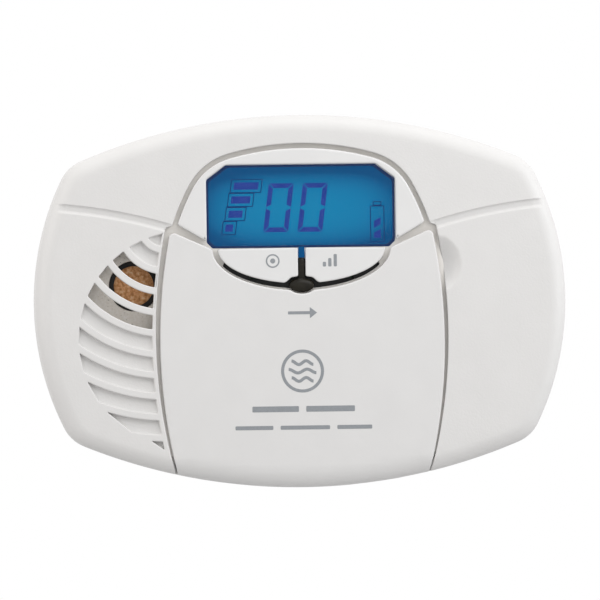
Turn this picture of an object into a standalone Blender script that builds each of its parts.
"""Carbon monoxide detector: a wall-hung, battery-powered alarm, as an assembly of its separate pieces.

The origin is the centre of the back face, which lies against the wall in the plane Y = 0.
The front looks along -Y, +X is to the right of someone facing it, and +Z is up.
Every size below is in millimetres. A place is written (x, depth, z), where depth is the distance
out from the wall, and the helpers turn it into Blender's metres.
"""

import math

import bmesh
import bpy
from mathutils import Matrix, Vector

MM = 0.001
GAP = 0.3  # between pieces that touch

# Case
WIDTH = 146.0
HEIGHT = 102.4
DEPTH = 38.0
TOP_ARC = 157.0  # radius of the long edges, seen from the front
SIDE_ARC = 78.0
CORNER = 10.5
DOME = 900.0  # radius of the front's crown
RIM = 4.5  # the front's rolled-over edge
SIDE_WALL = 3.0
FACE_WALL = 2.0
PARTING = 11.0  # depth where the rear housing meets the front shell
LIP = 3.5  # how far the rear housing's lip stands inside the shell

# Bay: the sunk floor under the bezel and the battery door
FLOOR_BACK = 32.8
FLOOR_FRONT = 34.4
BAY_RIM = 1.6

# Display
WINDOW_HALF = 25.7
WINDOW_LOW = 14.95
WINDOW_HIGH = 37.3
WINDOW_CHAMFER = (5.35, 4.0)
WINDOW_FOOT = 1.6
BEZEL_GAP = 1.3
BEZEL_FOOT = ((26.0, 16.7), (34.1, 21.1))  # the sloping lower edge of each leg
TAIL_HALF = 0.8  # the window's tail, between the buttons

# Buttons
SCOOP = (24.5, 11.5)  # half-axes of the recess in the door's top edge
BUTTON = (23.0, 9.6)  # half-axes of the two buttons' common outline
SCOOP_TOP = 14.5
BUTTON_INNER = 1.05
BUTTON_X = 11.0  # of the stems and the switches
BUTTON_Z = 9.6
LIGHT_Z = 4.4
LIGHT = (3.45, 1.95)  # half-axes of the oval status light

# Battery door
DOOR_HALF = 39.15
DOOR_ARC = 150.0
DOOR_MID = -11.0
DOOR_SHOULDER = (35.0, 19.2)
DOOR_SKIN = 1.5
DOOR_LIP = 29.5  # depth that the door's bottom lip reaches back to
OPENING_HALF = (40.3, 40.1)  # left, right
OPENING_ARC = 146.0
OPENING_MID = -9.0
HINGE = (-45.0, 32.4)  # x and depth of the hinge axis, which is vertical
HINGE_ARMS = (-15.0, -29.0)
ARM_HALF = 2.0
ARM_BAR = 24.7  # depth of the gooseneck's bend

# Louvres over the horn
FAN = (-37.5, 21.1)  # centre of the slots' rings
FAN_FIRST = 7.87
FAN_PITCH = 5.735
SLOT = 3.4
SLOTS = 11
OPEN_SLOTS = (3, 4, 5)
FAN_CLIP = (-31.8, -10.0, 30.05)
FAN_EDGE = (103.7, -11.0, 145.0)
BLIND = 1.3  # depth of the slots that don't go through

# Board, horn and batteries
BOARD_BACK = 25.4
BOARD_FRONT = 27.0
HORN = (-45.9, 4.7)
HORN_RADIUS = 15.0
HORN_MOUTH = 6.9
TRAY = (-32.3, 32.3, -38.3, -3.7)
TRAY_BACK = 16.5
TRAY_WALL = 1.4
CELL_RADIUS = 7.15
CELL_LENGTH = 49.2
CELL_NUB = 1.3
CELL_DEPTH = 25.4
CELL_ROWS = (-12.7, -29.3)
TERMINAL = 30.2  # x of the battery contacts' faces
CORNER_SCREW = (55.0, 31.0)
BOARD_SCREWS = ((22.5, 1.0), (31.5, 34.0))
SENSOR = (20.0, 24.0)
KEYHOLE = (32.0, 12.0)
CROWDED = ("front_shell", "display_frame")


def clear_scene():
    for obj in list(bpy.data.objects):
        bpy.data.objects.remove(obj, do_unlink=True)


def new_collection(name):
    collection = bpy.data.collections.new(name)
    bpy.context.scene.collection.children.link(collection)
    return collection


clear_scene()
PARTS = new_collection("carbon_monoxide_detector")
CUTTERS = new_collection("cutters")
CUTTERS.hide_render = True


# Materials


def material(name, color, roughness=0.5, metallic=0.0):
    made = bpy.data.materials.new(name)
    made.use_nodes = True
    shader = made.node_tree.nodes["Principled BSDF"]
    shader.inputs["Base Color"].default_value = (*color, 1.0)
    shader.inputs["Roughness"].default_value = roughness
    shader.inputs["Metallic"].default_value = metallic
    made.diffuse_color = (*color, 1.0)
    return made


WHITE = material("case_white", (0.80, 0.79, 0.77), 0.55)
DOOR_WHITE = material("door_white", (0.82, 0.82, 0.81), 0.45)
GLOSS_WHITE = material("gloss_white", (0.88, 0.88, 0.88), 0.2)
BLACK = material("black_plastic", (0.02, 0.02, 0.02), 0.5)
SMOKE = material("smoked_lens", (0.03, 0.03, 0.03), 0.1)
CLEAR = material("clear_lens", (0.75, 0.85, 0.9), 0.05)
DISPLAY = material("display_glass", (0.03, 0.2, 0.4), 0.1)
DIFFUSER = material("light_guide", (0.85, 0.87, 0.9), 0.3)
BOARD = material("board_green", (0.02, 0.16, 0.06), 0.4)
CHIP = material("chip_black", (0.03, 0.03, 0.03), 0.6)
STEEL = material("steel", (0.6, 0.6, 0.6), 0.3, 1.0)
NICKEL = material("nickel", (0.7, 0.68, 0.63), 0.25, 1.0)
BRASS = material("brass", (0.65, 0.42, 0.18), 0.35, 1.0)
CERAMIC = material("ceramic", (0.7, 0.7, 0.68), 0.5)
BEIGE = material("horn_beige", (0.45, 0.43, 0.39), 0.6)
RUBBER = material("rubber", (0.02, 0.02, 0.02), 0.8)
CELL_SLEEVE = material("cell_sleeve", (0.08, 0.09, 0.1), 0.3)
LABEL = material("label", (0.75, 0.75, 0.74), 0.4)
RED = material("red_sleeve", (0.6, 0.02, 0.02), 0.5)
GREEN_LIGHT = material("status_light", (0.1, 0.5, 0.15), 0.2)


# Meshes


def to_world(x, depth, z):
    return Vector((x, -depth, z)) * MM


def add(name, mesh, look=None, matrix=None):
    """A new object: a part if it has a material, and otherwise a cutter or a helper."""
    obj = bpy.data.objects.new(name, mesh)
    if matrix is not None:
        obj.matrix_world = matrix
    if look is None:
        CUTTERS.objects.link(obj)
        obj.hide_render = True
        obj.display_type = "WIRE"
    else:
        PARTS.objects.link(obj)
        mesh.materials.append(look)
    return obj


def shade(obj, degrees=35.0):
    obj.data.shade_smooth()
    obj.data.set_sharp_from_angle(angle=math.radians(degrees))
    return obj


def from_bmesh(name, bm, look, matrix=None):
    bmesh.ops.recalc_face_normals(bm, faces=bm.faces)
    mesh = bpy.data.meshes.new(name)
    bm.to_mesh(mesh)
    bm.free()
    return add(name, mesh, look, matrix)


def box(name, xs, depths, zs, look=None, rounding=0.0):
    """A box between two limits on each axis."""
    bm = bmesh.new()
    middle = to_world(sum(xs) / 2, sum(depths) / 2, sum(zs) / 2)
    size = [(high - low) * MM for low, high in (xs, depths, zs)]
    bmesh.ops.create_cube(bm, size=1.0, matrix=Matrix.Translation(middle) @ Matrix.Diagonal((*size, 1.0)))
    obj = from_bmesh(name, bm, look)
    if rounding:
        bevel = obj.modifiers.new("edges", "BEVEL")
        bevel.width = rounding * MM
        bevel.segments = 1
    return obj


def rods(name, places, back, front, radius, look=None, sides=20):
    """Round bars that point out of the wall, all in one mesh."""
    bm = bmesh.new()
    for x, z in places:
        middle = Matrix.Translation(to_world(x, (back + front) / 2, z))
        bmesh.ops.create_cone(
            bm,
            cap_ends=True,
            segments=sides,
            radius1=radius * MM,
            radius2=radius * MM,
            depth=(front - back) * MM,
            matrix=middle @ Matrix.Rotation(math.radians(90), 4, "X"),
        )
    return shade(from_bmesh(name, bm, look))


def pin(name, x, depth, low, high, radius, look=None, sides=16):
    """A round bar that stands upright."""
    bm = bmesh.new()
    bmesh.ops.create_cone(
        bm,
        cap_ends=True,
        segments=sides,
        radius1=radius * MM,
        radius2=radius * MM,
        depth=(high - low) * MM,
        matrix=Matrix.Translation(to_world(x, depth, (low + high) / 2)),
    )
    return from_bmesh(name, bm, look)


def curve_to_mesh(obj, look):
    """Replaces a curve object by its mesh, with the caps welded on."""
    bpy.context.view_layer.update()
    graph = bpy.context.evaluated_depsgraph_get()
    mesh = bpy.data.meshes.new_from_object(obj.evaluated_get(graph))
    name, matrix, curve = obj.name, obj.matrix_world.copy(), obj.data
    bpy.data.objects.remove(obj, do_unlink=True)
    bpy.data.curves.remove(curve)
    bm = bmesh.new()
    bm.from_mesh(mesh)
    bpy.data.meshes.remove(mesh)
    bmesh.ops.remove_doubles(bm, verts=bm.verts, dist=1e-6)
    return from_bmesh(name, bm, look, matrix)


def flat(name, outlines, thickness):
    """A flat curve object through one or more closed outlines, which are lists of (x, y)."""
    curve = bpy.data.curves.new(name, "CURVE")
    curve.dimensions = "2D"
    curve.fill_mode = "BOTH"
    curve.extrude = thickness / 2 * MM
    for outline in outlines:
        spline = curve.splines.new("POLY")
        spline.points.add(len(outline) - 1)
        for point, (x, y) in zip(spline.points, outline):
            point.co = (x * MM, y * MM, 0.0, 1.0)
        spline.use_cyclic_u = True
    obj = bpy.data.objects.new(name, curve)
    CUTTERS.objects.link(obj)
    return obj


def prism(name, outlines, back, front, look=None):
    """A solid of constant section, seen from the front as its outlines, lists of (x, z)."""
    obj = flat(name, outlines, front - back)
    obj.location = to_world(0, (back + front) / 2, 0)
    obj.rotation_euler.x = math.radians(90)
    return curve_to_mesh(obj, look)


def plan_prism(name, outline, low, high, look=None):
    """A solid of constant section, seen from above as its outline, a list of (x, depth)."""
    obj = flat(name, [[(x, -depth) for x, depth in outline]], high - low)
    obj.location = to_world(0, 0, (low + high) / 2)
    return curve_to_mesh(obj, look)


def turned(name, profile, matrix, look, sides=24, loop=False):
    """A solid of revolution. The profile is a list of (radius, height), down its outer side."""
    bm = bmesh.new()
    points = [bm.verts.new((radius * MM, 0.0, height * MM)) for radius, height in profile]
    for first, second in zip(points, points[1:]):
        bm.edges.new((first, second))
    if loop:
        bm.edges.new((points[-1], points[0]))
    mesh = bpy.data.meshes.new(name)
    bm.to_mesh(mesh)
    bm.free()
    obj = add(name, mesh, look, matrix)
    screw = obj.modifiers.new("turn", "SCREW")
    screw.steps = screw.render_steps = sides
    screw.use_merge_vertices = True
    screw.merge_threshold = 1e-5
    screw.use_smooth_shade = False
    return obj


def outwards(x, z):
    """Stands a turned piece on the wall at (x, z), so that its heights are depths."""
    return Matrix.Translation(to_world(x, 0, z)) @ Matrix.Rotation(math.radians(90), 4, "X")


def sideways(depth, z):
    """Lays a turned piece along X at this depth and height, so that its heights are x."""
    return Matrix.Translation(to_world(0, depth, z)) @ Matrix.Rotation(math.radians(90), 4, "Y")


def loft(name, rings, look=None):
    """A closed solid through rings of (x, depth, z) with equal numbers of points."""
    bm = bmesh.new()
    rows = [[bm.verts.new(to_world(*point)) for point in ring] for ring in rings]
    for row, after in zip(rows, rows[1:]):
        for i in range(len(row)):
            j = (i + 1) % len(row)
            bm.faces.new((row[i], row[j], after[j], after[i]))
    bm.faces.new(rows[0])
    bm.faces.new(rows[-1])
    bmesh.ops.triangulate(bm, faces=bm.faces)
    return from_bmesh(name, bm, look)


def smooth_path(points, steps=5):
    """Points along a smooth curve that passes through the given ones."""
    ends = [2 * points[0] - points[1], *points, 2 * points[-1] - points[-2]]
    path = []
    for a, b, c, d in zip(ends, ends[1:], ends[2:], ends[3:]):
        for step in range(steps):
            t = step / steps
            bend = (2 * a - 5 * b + 4 * c - d) * t * t + (3 * b - a - 3 * c + d) * t**3
            path.append(b + ((c - a) * t + bend) / 2)
    return [*path, points[-1]]


def tube(name, path, radius, look):
    """A round wire along a list of points in world space."""
    curve = bpy.data.curves.new(name, "CURVE")
    curve.dimensions = "3D"
    curve.bevel_depth = radius * MM
    curve.bevel_resolution = 1
    curve.use_fill_caps = True
    spline = curve.splines.new("POLY")
    spline.points.add(len(path) - 1)
    for point, place in zip(spline.points, path):
        point.co = (*place, 1.0)
    obj = bpy.data.objects.new(name, curve)
    CUTTERS.objects.link(obj)
    return shade(curve_to_mesh(obj, look), 60)


def boolean(obj, other, operation):
    """Cuts or joins one mesh with another. The crowded pieces have cuts that nearly touch one another."""
    change = obj.modifiers.new(other.name, "BOOLEAN")
    change.operation = operation
    change.solver = "MANIFOLD" if obj.name in CROWDED else "EXACT"
    change.object = other
    return obj


def cut(obj, *others):
    for other in others:
        boolean(obj, other, "DIFFERENCE")
    return obj


def join(obj, *others):
    for other in others:
        boolean(obj, other, "UNION")
    return obj


# Outlines, seen from the front


def crossing(first, second, others):
    """Where two circles cross, at the crossing that lies inside the other circles."""
    (ax, az, ar), (bx, bz, br) = first, second
    apart = math.hypot(bx - ax, bz - az)
    along = (ar * ar - br * br + apart * apart) / (2 * apart)
    off = math.sqrt(max(ar * ar - along * along, 0.0))
    ux, uz = (bx - ax) / apart, (bz - az) / apart
    found = [(ax + along * ux - s * off * uz, az + along * uz + s * off * ux) for s in (1, -1)]
    return min(found, key=lambda p: max(math.hypot(p[0] - x, p[1] - z) - r for x, z, r in others))


def arc(centre_x, centre_z, radius, start, end, steps):
    turns = [start + (end - start) * step / steps for step in range(steps + 1)]
    return [(centre_x + radius * math.cos(a), centre_z + radius * math.sin(a)) for a in turns]


def rounded(discs, fillets, inset=0.0, steps=8, corner_steps=3):
    """The outline of what lies inside all the discs (x, z, radius), anticlockwise, with round corners.

    Corner i is the one from disc i to the next, and inset draws the outline that far inside.
    """
    discs = [(x, z, radius - inset) for x, z, radius in discs]
    fillets = [max(fillet - inset, 0.0) for fillet in fillets]
    after = discs[1:] + discs[:1]
    corners = []
    for (ax, az, ar), (bx, bz, br), fillet in zip(discs, after, fillets):
        corners.append(crossing((ax, az, ar - fillet), (bx, bz, br - fillet), discs))
    outline = []
    for i, (x, z, radius) in enumerate(discs):
        (sx, sz), (ex, ez) = corners[i - 1], corners[i]
        start = math.atan2(sz - z, sx - x)
        end = math.atan2(ez - z, ex - x)
        end += 2 * math.pi * (end < start)
        side = arc(x, z, radius, start, end, steps)
        if fillets[i] > 0:
            turn = math.atan2(ez - after[i][1], ex - after[i][0])
            turn += 2 * math.pi * (turn < end)
            side += arc(ex, ez, fillets[i], end, turn, corner_steps)[1:-1]
        else:
            side.pop()
        outline += side
    return outline


def case_outline(inset=0.0):
    top, side = HEIGHT / 2 - TOP_ARC, WIDTH / 2 - SIDE_ARC
    discs = [(side, 0, SIDE_ARC), (0, top, TOP_ARC), (-side, 0, SIDE_ARC), (0, -top, TOP_ARC)]
    return rounded(discs, [CORNER] * 4, inset)


def bezel_outline(inset=0.0, bottom=WINDOW_LOW):
    """The display bezel's arch, closed by a straight line at the bottom."""
    far = 1e4
    discs = [(-27.55, 0.44, 65.0), (0, -30.66, 72.7), (27.55, 0.44, 65.0), (0, bottom + far, far)]
    return rounded(discs, [16.5, 16.5, 0.0, 0.0], inset, corner_steps=6)


def side_arc(half, radius, middle, low, high, steps=12):
    """Points up a bulging right-hand edge, from the height low to the height high."""
    heights = [low + (high - low) * step / steps for step in range(steps + 1)]
    return [(half - radius + math.sqrt(radius**2 - (z - middle) ** 2), z) for z in heights]


def half_ellipse(half_axes, steps=16):
    """The lower half of an ellipse under SCOOP_TOP, from right to left."""
    turns = [-math.pi * step / steps for step in range(steps + 1)]
    return [(half_axes[0] * math.cos(a), SCOOP_TOP + half_axes[1] * math.sin(a)) for a in turns]


def oval(half_axes, x, z, steps=20):
    turns = [2 * math.pi * step / steps for step in range(steps)]
    return [(x + half_axes[0] * math.cos(a), z + half_axes[1] * math.sin(a)) for a in turns]


def mirrored(outline):
    return [(-x, z) for x, z in reversed(outline)]


def door_outline():
    """The battery door, drawn on past the bottom of the case."""
    right = side_arc(DOOR_HALF, DOOR_ARC, DOOR_MID, -HEIGHT / 2, DOOR_SHOULDER[1])
    right[-1] = DOOR_SHOULDER
    base = [(right[0][0], -HEIGHT)]
    return base + right + half_ellipse(SCOOP) + mirrored(base + right)


def opening_outline(grow=0.0, low=-HEIGHT):
    """The opening in the shell that the door fills, up to the bezel's feet."""
    sides = []
    for half in OPENING_HALF:
        sides.append(side_arc(half + grow, OPENING_ARC + grow, OPENING_MID, max(low, -HEIGHT / 2), 20.6 + grow))
    left, right = sides
    base = [(right[0][0], low), *right]
    return base + mirrored([(left[0][0], low), *left])


def window_outline(grow=0.0, tail=False):
    """The display window: a rectangle with cut corners and, if asked, its tail between the buttons."""
    half, low, high = WINDOW_HALF + grow, WINDOW_LOW - grow, WINDOW_HIGH + grow
    across, down = WINDOW_CHAMFER
    right = [(half - WINDOW_FOOT, low), (half, low + WINDOW_FOOT), (half, high - down), (half - across, high)]
    if tail:
        end = LIGHT_Z + LIGHT[1] + GAP
        right = [(TAIL_HALF, end), (TAIL_HALF, low), *right]
    return right + mirrored(right)


def button_outline():
    """The right-hand button: half of the buttons' common outline, with a straight inner edge."""
    top = WINDOW_LOW - GAP
    curve = [(x, min(z, top)) for x, z in half_ellipse(BUTTON, 24) if x > BUTTON_INNER + 3.0]
    low = SCOOP_TOP - BUTTON[1]
    around = LIGHT_Z + LIGHT[1] + 0.5  # clear of the status light
    return [(BUTTON_INNER, top), *curve, (4.4, low + 0.35), (3.0, around - 0.3), (BUTTON_INNER, around)]


def stroke(path, half):
    """The outline of a line of constant width along a path of (x, y) points."""
    left, right = [], []
    for i, (x, y) in enumerate(path):
        (ax, ay), (bx, by) = path[max(i - 1, 0)], path[min(i + 1, len(path) - 1)]
        length = math.hypot(bx - ax, by - ay)
        nx, ny = -(by - ay) / length * half, (bx - ax) / length * half
        left.append((x + nx, y + ny))
        right.append((x - nx, y - ny))
    return left + right[::-1]


def fan_point(radius, limit):
    """Where a ring of the louvre fan crosses one of its limits."""
    below = (FAN[0], FAN[1] - 200.0, 201.0)
    return crossing((*FAN, radius), limit, [below])


def fan_arc(radius, steps=6):
    """A ring of the fan, from the round clip to the edge beside the door."""
    turns = []
    for limit in (FAN_CLIP, FAN_EDGE):
        x, z = fan_point(radius, limit)
        turns.append(math.atan2(z - FAN[1], x - FAN[0]) % (2 * math.pi))
    return arc(*FAN, radius, *turns, steps)


def slot_outline(number):
    """One louvre slot, between two rings of the fan. The last one tapers to a point."""
    inner = FAN_FIRST + FAN_PITCH * (number - 2)
    first = fan_arc(max(inner, 2.1))
    if number == SLOTS:
        return first + [fan_point(inner + 0.6 * SLOT, FAN_EDGE)]
    return first + fan_arc(inner + SLOT)[::-1]


def groove_path():
    """The centre of the groove that runs from the bay to the case's side, on the right."""
    radius, start, end = 142.0, (36.7, 20.55), (67.7, 26.4)
    middle = ((start[0] + end[0]) / 2, (start[1] + end[1]) / 2)
    run, rise = end[0] - start[0], end[1] - start[1]
    chord = math.hypot(run, rise)
    back = math.sqrt(radius**2 - chord**2 / 4) / chord
    x, z = middle[0] + rise * back, middle[1] - run * back
    turns = [math.atan2(point[1] - z, point[0] - x) for point in (end, start)]
    return arc(x, z, radius, *turns, 8)


# Solids that several pieces are made from


def crown(x, z):
    """The depth of the case's front surface."""
    return DEPTH - (x * x + z * z) / (2 * DOME)


def envelope(name, side, face, back, look=None):
    """The case's outer form, drawn in by side at its edges and by face at its front."""
    radius = RIM - side
    rings = [[(x, back, z) for x, z in case_outline(side)]]
    for turn in (0, 45, 90):
        inset = side + radius * (1 - math.cos(math.radians(turn)))
        drop = face + radius * (1 - math.sin(math.radians(turn)))
        rings.append([(x, crown(x, z) - drop, z) for x, z in case_outline(inset)])
    for scale in (0.65, 0.3):
        ring = [(scale * x, scale * z) for x, z in case_outline(RIM)]
        rings.append([(x, crown(x, z) - face, z) for x, z in ring])
    return loft(name, rings, look)


def skin_cutter(name, outlines, depth, back=28.0):
    """What cuts outlines into the case to an even depth below its surface."""
    below = envelope(name + "_floor", depth, depth, 5.0)
    return cut(prism(name, outlines, back, DEPTH + 3), below)


# Case


def make_front_shell():
    shell = envelope("front_shell", 0.0, 0.0, PARTING + GAP, WHITE)
    cut(shell, envelope("shell_hollow", SIDE_WALL, FACE_WALL, PARTING - 3))
    full = envelope("case_limit", 0.0, 0.0, 5.0)
    for name, outline in (
        ("bezel_bay", bezel_outline(-BEZEL_GAP - BAY_RIM, 0.0)),
        ("door_bay", opening_outline(BAY_RIM)),
    ):
        bay = prism(name, [outline], FLOOR_BACK, DEPTH + 1)
        boolean(bay, full, "INTERSECT")
        join(shell, bay)
    corners = [(x * a, z * b) for x, z in [CORNER_SCREW] for a in (1, -1) for b in (1, -1)]
    inner = [(side * x, z) for x, z in BOARD_SCREWS for side in (1, -1)]
    join(shell, rods("shell_bosses", corners, PARTING + LIP + 0.4, 35.0, 3.2, sides=16))
    join(shell, rods("board_bosses", inner, BOARD_FRONT + GAP, FLOOR_BACK + 1.4, 2.6, sides=12))
    cut(shell, prism("bezel_pocket", [bezel_outline(-BEZEL_GAP, 0.0)], FLOOR_FRONT, DEPTH + 2))
    cut(shell, prism("door_pocket", [opening_outline()], FLOOR_FRONT, DEPTH + 2))
    cut(shell, skin_cutter("lip_slot", [opening_outline()], 1.6, DOOR_LIP - GAP))
    cut(shell, prism("display_hole", [window_outline(1.4)], FLOOR_BACK - 1, FLOOR_FRONT + 0.4))
    low_row = [(x, z) for x, z in half_ellipse((24.0, 11.0)) if z < SCOOP_TOP - 0.1]
    cut(shell, prism("button_hole", [[(23.9, 15.0), *low_row, (-23.9, 15.0)]], 32.0, FLOOR_FRONT + 0.5))
    cut(shell, rods("light_pipe_hole", [(0, LIGHT_Z)], 31.0, 36.0, 1.9))
    left, right, low, high = TRAY
    wall = TRAY_WALL
    cut(shell, box("battery_hole", (left + wall, right - wall), (31, 36), (low + wall, high - wall)))
    for number, z in enumerate(HINGE_ARMS, 1):
        cut(shell, box(f"hinge_slot_{number}", (-47.5, left - 0.1), (20, 34.7), (z - 2.8, z + 2.8)))
    blind = [slot_outline(n) for n in range(1, SLOTS + 1) if n not in OPEN_SLOTS]
    groove = stroke(groove_path(), 0.8)
    cut(shell, prism("open_slots", [slot_outline(n) for n in OPEN_SLOTS], 30.0, DEPTH + 2))
    cut(shell, skin_cutter("blind_slots", blind, BLIND))
    cut(shell, skin_cutter("grooves", [groove, mirrored(groove)], 0.6))
    scoop = bmesh.new()
    bmesh.ops.create_uvsphere(
        scoop,
        u_segments=20,
        v_segments=10,
        radius=1.0,
        matrix=Matrix.Translation(to_world(38.5, 37.4, 10.4)) @ Matrix.Diagonal((0.0062, 0.003, 0.0078, 1)),
    )
    cut(shell, from_bmesh("finger_scoop", scoop, None))
    cut(shell, rods("shell_pilots", corners, PARTING, 28.0, 1.6, sides=10))
    cut(shell, rods("board_pilots", inner, BOARD_FRONT - 1, 32.0, 1.3, sides=10))
    return shell


def make_rear_housing():
    """A tray with a lip that stands inside the front shell."""
    lip = SIDE_WALL + 0.35
    steps = [
        (2.2, 0.0),
        (0.9, 1.3),
        (0.9, PARTING),
        (lip, PARTING),
        (lip, PARTING + LIP),
        (lip + 1.3, PARTING + LIP),
        (lip + 1.3, PARTING - 1.5),
        (2.9, PARTING - 3.0),
        (2.9, 2.2),
    ]
    rings = [[(x, depth, z) for x, z in case_outline(inset)] for inset, depth in steps]
    housing = loft("rear_housing", rings, WHITE)
    corners = [(x * a, z * b) for x, z in [CORNER_SCREW] for a in (1, -1) for b in (1, -1)]
    join(housing, rods("rear_bosses", corners, 1.0, PARTING + LIP - 0.2, 4.2, sides=16))
    cut(housing, rods("rear_counterbores", corners, -1.0, 2.4, 3.2, sides=16))
    cut(housing, rods("rear_screw_holes", corners, 1.0, PARTING + LIP + 1, 1.8, sides=12))
    x, z = KEYHOLE
    heads = [(x, z), (-x, z)]
    cut(housing, rods("keyhole_heads", heads, -1.0, 4.0, 4.2, sides=20))
    for side in (1, -1):
        xs = sorted((side * x - 2.1, side * x + 2.1))
        cut(housing, box(f"keyhole_slot_{side + 2}", xs, (-1, 4), (z, z + 9.5)))
    cut(housing, box("label_recess", (-27, 27), (-1, 0.6), (-38, -8)))
    vents = bmesh.new()
    for column in range(-3, 4):
        middle = Matrix.Translation(to_world(8.0 * column, 6.2, 0))
        size = Matrix.Diagonal((2.2 * MM, 4.0 * MM, 2 * HEIGHT * MM, 1.0))
        bmesh.ops.create_cube(vents, size=1.0, matrix=middle @ size)
    cut(housing, from_bmesh("side_vents", vents, None))
    return housing


def make_label():
    box("rear_label", (-26.7, 26.7), (0.05, 0.3), (-37.7, -8.3), LABEL)


def screw(name, x, z, head_back, head_radius, shank_radius, end):
    """A pan-head screw, driven from the back."""
    profile = [
        (0.0, end),
        (shank_radius * 0.6, end),
        (shank_radius, end - 1.2),
        (shank_radius, head_back + 1.5),
        (head_radius, head_back + 1.5),
        (head_radius, head_back + 0.5),
        (head_radius * 0.7, head_back),
        (0.0, head_back),
    ]
    turned(name, profile, outwards(x, z), STEEL, sides=12)


def make_screws():
    x, z = CORNER_SCREW
    for number, (a, b) in enumerate(((1, 1), (-1, 1), (-1, -1), (1, -1)), 1):
        screw(f"housing_screw_{number}", a * x, b * z, 0.4, 2.8, 1.3, 26.0)
    places = [(side * x, z) for x, z in BOARD_SCREWS for side in (1, -1)]
    for number, (x, z) in enumerate(places, 1):
        screw(f"board_screw_{number}", x, z, BOARD_BACK - GAP - 1.5, 2.2, 1.0, 31.0)


# Display


def make_bezel():
    bezel = prism("display_bezel", [bezel_outline()], FLOOR_FRONT + GAP, DEPTH + 2, GLOSS_WHITE)
    boolean(bezel, envelope("bezel_limit", 0.0, 0.0, 5.0), "INTERSECT")
    (inner_x, inner_z), (outer_x, outer_z) = BEZEL_FOOT
    slope = (outer_z - inner_z) / (outer_x - inner_x)
    far_x = 45.0
    below = [(inner_x - 1, 0.0), (far_x, 0.0), (far_x, inner_z + slope * (far_x - inner_x))]
    below.append((inner_x - 1, inner_z - slope))
    cut(bezel, prism("bezel_feet", [below, mirrored(below)], 30.0, DEPTH + 3))
    hole = [(x, z if z > WINDOW_LOW + 3 else 5.0) for x, z in window_outline(GAP)]
    hole = [(WINDOW_HALF + GAP if x > 20 and z < 10 else x, z) for x, z in hole]
    hole = [(-WINDOW_HALF - GAP if x < -20 and z < 10 else x, z) for x, z in hole]
    cut(bezel, prism("window_cut", [hole], 30.0, DEPTH + 3))


def make_display():
    prism("display_window", [window_outline(tail=True)], 35.0, 36.8, CLEAR)
    prism("display_panel", [window_outline(0.9)], 32.0, 34.2, DISPLAY)
    box("light_guide", (-25.6, 25.6), (28.2, 31.5), (15.6, 36.8), DIFFUSER, 0.4)
    frame_outline = [(16.0, 1.2), (16.0, 4.8), (28.0, 4.8), (28.0, 38.0), (27.0, 39.0)]
    frame = prism("display_frame", [frame_outline + mirrored(frame_outline)], 28.0, 31.7, BLACK)
    cut(frame, box("light_guide_hole", (-26, 26), (27, 33), (15.2, 37.2)))
    for side in (1, -1):
        x = side * BUTTON_X
        xs, zs = (x - 3.4, x + 3.4), (BUTTON_Z - 3.4, BUTTON_Z + 3.4)
        cut(frame, box(f"switch_hole_{side + 2}", xs, (27, 33), zs))
    cut(frame, rods("light_hole", [(0, LIGHT_Z)], 27, 33, 1.9))
    for name, low in (("lower_contact_strip", 13.9), ("upper_contact_strip", 37.5)):
        box(name, (-20, 20), (BOARD_FRONT + GAP, 27.75), (low, low + 1.0), RUBBER)
    lens = prism("status_light_lens", [oval(LIGHT, 0, LIGHT_Z)], 34.7, 36.9, SMOKE)
    join(lens, rods("light_pipe", [(0, LIGHT_Z)], 31.0, 35.0, 1.5, sides=12))
    profile = [(0, 30.6), (0.9, 30.3), (1.5, 29.2), (1.5, 28.2), (1.8, 28.2), (1.8, 27.3), (0, 27.3)]
    turned("status_light", profile, outwards(0, LIGHT_Z), GREEN_LIGHT, sides=16)


def make_buttons():
    outline = button_outline()
    for name, side in (("test", -1), ("peak", 1)):
        x = side * BUTTON_X
        shape = outline if side > 0 else mirrored(outline)
        cap = prism(f"{name}_button", [shape], 34.9, DEPTH + 2, GLOSS_WHITE)
        boolean(cap, envelope(f"{name}_limit", 0.0, 0.25, 5.0), "INTERSECT")
        join(cap, rods(f"{name}_stem", [(x, BUTTON_Z)], 30.8, 35.5, 2.0, sides=16))
        body = box(f"{name}_switch", (x - 3, x + 3), (27.3, 29.9), (BUTTON_Z - 3, BUTTON_Z + 3), BLACK)
        cut(body, rods(f"{name}_switch_bore", [(x, BUTTON_Z)], 27.8, 31.0, 1.9, sides=16))
        rods(f"{name}_switch_plunger", [(x, BUTTON_Z)], 28.6, 30.5, 1.6, STEEL, sides=16)


# Battery door and its hinge


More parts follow.
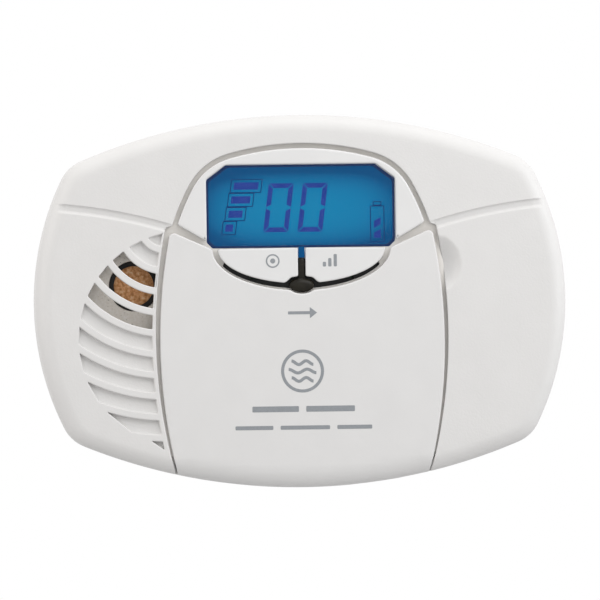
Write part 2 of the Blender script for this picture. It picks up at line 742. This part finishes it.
def make_door():
    door = prism("battery_door", [door_outline()], DOOR_LIP, DEPTH + 2, DOOR_WHITE)
    boolean(door, envelope("door_limit", 0.0, 0.0, 5.0), "INTERSECT")
    cut(door, envelope("door_hollow", 1.3, DOOR_SKIN, 20.0))
    cut(door, prism("light_notch", [oval((LIGHT[0] + 0.4, LIGHT[1] + 0.4), 0, LIGHT_Z)], 30, DEPTH + 3))
    x, depth = HINGE
    path = [(x, depth), (x, 27.0), (x + 2, ARM_BAR), (-38.0, ARM_BAR), (-36.2, 26.7), (-36.2, 36.2)]
    for number, z in enumerate(HINGE_ARMS, 1):
        arm = plan_prism(f"hinge_arm_{number}", stroke(path, 0.9), z - ARM_HALF, z + ARM_HALF)
        knuckle = pin(f"hinge_knuckle_{number}", x, depth, z - ARM_HALF, z + ARM_HALF, 1.5)
        stub = pin(f"hinge_stub_{number}", x, depth, z - 3.4, z + 3.4, 0.9, sides=12)
        join(door, arm, knuckle, stub)
    join(door, box("latch_rib", (36.0, 38.2), (34.9, 35.9), (-13, -7)))
    axis = bpy.data.objects.new("battery_door_hinge", None)
    axis.location = to_world(x, depth, 0)
    axis.empty_display_size = 0.01
    PARTS.objects.link(axis)
    bpy.context.view_layer.update()
    door.parent = axis
    door.matrix_parent_inverse = axis.matrix_world.inverted()


# Batteries


def make_tray():
    left, right, low, high = TRAY
    wall = TRAY_WALL
    tray = box("battery_tray", (left, right), (TRAY_BACK, FLOOR_BACK - GAP), (low, high), WHITE)
    inside = (left + wall, right - wall), (TRAY_BACK + wall, FLOOR_BACK + 1), (low + wall, high - wall)
    cut(tray, box("tray_hollow", *inside))
    rib_z = sum(CELL_ROWS) / 2
    join(tray, box("tray_rib", (-18, 18), (TRAY_BACK + 0.5, 21.5), (rib_z - 0.6, rib_z + 0.6)))
    x, depth = HINGE
    plate = [(left + 0.5, 20.0), (left + 0.5, 32.4), (-42.4, 32.4), (-43.2, 34.0), (-46.6, 34.0)]
    plate += [(-46.6, 30.5), (-36.0, 20.0)]
    for number, z in enumerate(HINGE_ARMS, 1):
        for side in (1, -1):
            near, far = z + side * (ARM_HALF + GAP), z + side * (ARM_HALF + GAP + 1.3)
            join(tray, plan_prism(f"clevis_{number}_{side + 2}", plate, *sorted((near, far))))
    low_arm, high_arm = HINGE_ARMS[1] - 5, HINGE_ARMS[0] + 5
    cut(tray, pin("hinge_bore", x, depth, low_arm, high_arm, 1.2, sides=12))


def make_cells():
    for number, (z, facing) in enumerate(zip(CELL_ROWS, (1, -1)), 1):
        tip = TERMINAL - 1.5
        shoulder = tip - CELL_NUB
        profile = [
            (0, tip),
            (2.7, tip),
            (2.7, shoulder),
            (CELL_RADIUS - 0.6, shoulder),
            (CELL_RADIUS, shoulder - 0.6),
            (CELL_RADIUS, shoulder - CELL_LENGTH + 0.6),
            (CELL_RADIUS - 0.6, shoulder - CELL_LENGTH),
            (0, shoulder - CELL_LENGTH),
        ]
        turn = Matrix.Rotation(math.radians(180 * (facing < 0)), 4, "Z")
        turned(f"battery_cell_{number}", profile, turn @ sideways(facing * CELL_DEPTH, z), CELL_SLEEVE, 20)
        spring = []
        turns, per_turn, length = 4, 9, 7.4
        for step in range(turns * per_turn + 1):
            share = step / (turns * per_turn)
            radius = 4.4 - 1.6 * share
            angle = 2 * math.pi * turns * share
            along = -facing * (TERMINAL - 0.75 - length * share)
            spring.append(to_world(along, CELL_DEPTH + radius * math.cos(angle), z + radius * math.sin(angle)))
        tube(f"battery_spring_{number}", spring, 0.35, NICKEL)


def contact_plate(name, facing, rows, bumps):
    """A flat battery contact against the tray's end wall, with a raised bump where a cell's nub meets it."""
    end = TERMINAL + 0.4
    low, high = min(rows) - 5.2, max(rows) + 5.2
    xs = sorted((facing * TERMINAL, facing * end))
    plate = box(name, xs, (19.5, 30.5), (low, high), NICKEL)
    for z in bumps:
        profile = [(0, end), (3.4, end), (3.0, TERMINAL - 0.6), (2.2, TERMINAL - 1.1), (0, TERMINAL - 1.1)]
        heights = [(radius, height - 0.1) for radius, height in profile]
        turn = Matrix.Rotation(math.radians(180 * (facing < 0)), 4, "Z")
        bump = turned(name + "_bump", heights, turn @ sideways(facing * CELL_DEPTH, z), None, 14)
        join(plate, bump)


def make_contacts():
    first, second = CELL_ROWS
    contact_plate("battery_link_plate", -1, (first, second), [second])
    contact_plate("battery_positive_plate", 1, (first,), [first])
    contact_plate("battery_negative_plate", 1, (second,), [])


# Horn, board and sensor


def make_horn():
    place = outwards(*HORN)
    shell = [
        (HORN_MOUTH, 31.2),
        (HORN_RADIUS - 1, 31.2),
        (HORN_RADIUS, 30.2),
        (HORN_RADIUS, 18.4),
        (13.4, 18.4),
        (13.4, 29.7),
        (HORN_MOUTH, 29.7),
    ]
    shade(turned("horn_housing", shell, place, BEIGE, 32, loop=True))
    ring = [(5.5, 29.3), (9.0, 29.3), (9.0, 28.3), (5.5, 28.3)]
    turned("horn_seal", ring, place, RUBBER, 28, loop=True)
    for name, radius, front, thickness, look in (
        ("horn_disc", 13.0, 28.0, 0.3, BRASS),
        ("horn_ceramic", 9.0, 27.4, 0.25, CERAMIC),
        ("horn_back_cap", 13.0, 20.0, 1.4, BLACK),
    ):
        rods(name, [HORN], front - thickness, front, radius, look, 28)


def make_board():
    outline = [(28.0, -2.6), (36.0, 3.0), (36.0, 37.5), (29.0, 42.5)]
    board = prism("main_board", [outline + mirrored(outline)], BOARD_BACK, BOARD_FRONT, BOARD)
    cut(board, rods("horn_clearance", [HORN], 24, 29, HORN_RADIUS + 1.0, sides=32))
    holes = [(side * x, z) for x, z in BOARD_SCREWS for side in (1, -1)]
    cut(board, rods("board_holes", holes, 24, 29, 1.4, sides=12))


def make_components():
    """The parts on the board's back."""
    top = BOARD_BACK - GAP
    box("microcontroller", (-13, -2), (top - 1.6, top), (17, 28), CHIP, 0.3)
    box("memory_chip", (-13, -8), (top - 1.5, top), (8, 12), CHIP, 0.3)
    box("crystal", (-5, 5), (top - 3.6, top), (3, 7), NICKEL, 0.8)
    box("horn_connector", (-28, -22), (top - 4.6, top), (7, 13), LABEL, 0.3)
    box("battery_connector", (25, 31), (top - 4.6, top), (5, 11), LABEL, 0.3)
    box("driver_transistor", (8, 12.5), (top - 4.6, top), (6, 9.6), CHIP, 0.8)
    for name, x, z, radius, length in (
        ("reservoir_capacitor", -22.5, 28.0, 4.0, 11.5),
        ("filter_capacitor", -22.5, 18.5, 3.2, 8.0),
    ):
        profile = [
            (0, top),
            (radius, top),
            (radius, top - 1.4),
            (radius - 0.35, top - 1.8),
            (radius, top - 2.2),
            (radius, top - length + 0.5),
            (radius - 0.5, top - length),
            (0, top - length),
        ]
        turned(name, profile, outwards(x, z), CELL_SLEEVE, 18)
    drum = [(0, top), (4.5, top), (4.5, top - 1), (3.6, top - 1), (3.6, top - 6), (4.5, top - 6)]
    drum += [(4.5, top - 7), (0, top - 7)]
    turned("horn_inductor", drum, outwards(-8.0, 35.0), CHIP, 18)
    body = [(0, top), (9.5, top), (9.5, 11.2), (8.9, 10.6), (0, 10.6)]
    turned("co_sensor_body", body, outwards(*SENSOR), LABEL, 24)
    cap = [(2.0, 10.3), (8.6, 10.3), (8.6, 8.4), (8.1, 7.9), (2.0, 7.9)]
    turned("co_sensor_cap", cap, outwards(*SENSOR), BLACK, 24, loop=True)


def make_leads():
    routes = {
        "horn_lead_red": [(-42, 18.2, 9), (-42, 15.2, 9), (-36, 14.5, 10.5), (-30.4, 17.5, 11.5), (-28.5, 22.6, 11.5)],
        "horn_lead_black": [(-46, 18.2, 6), (-46, 14.2, 6), (-38, 13, 7), (-30.6, 16.5, 8.5), (-28.5, 22.6, 8.5)],
        "battery_lead_red": [(32.9, 20, -12.7), (33.6, 20, -8), (33.0, 20.8, -2.2), (28.8, 22, 1), (26.6, 22.6, 4.4)],
        "battery_lead_black": [(32.9, 20, -29.3), (35.6, 19.5, -22), (36.0, 20, -8), (34.4, 22, 0.6), (29.8, 22.6, 4.4)],
    }
    for name, route in routes.items():
        path = smooth_path([to_world(*place) for place in route])
        tube(name, path, 0.6, RED if name.endswith("red") else BLACK)


make_rear_housing()
make_label()
make_front_shell()
make_bezel()
make_display()
make_buttons()
make_door()
make_tray()
make_cells()
make_contacts()
make_horn()
make_board()
make_components()
make_leads()
make_screws()
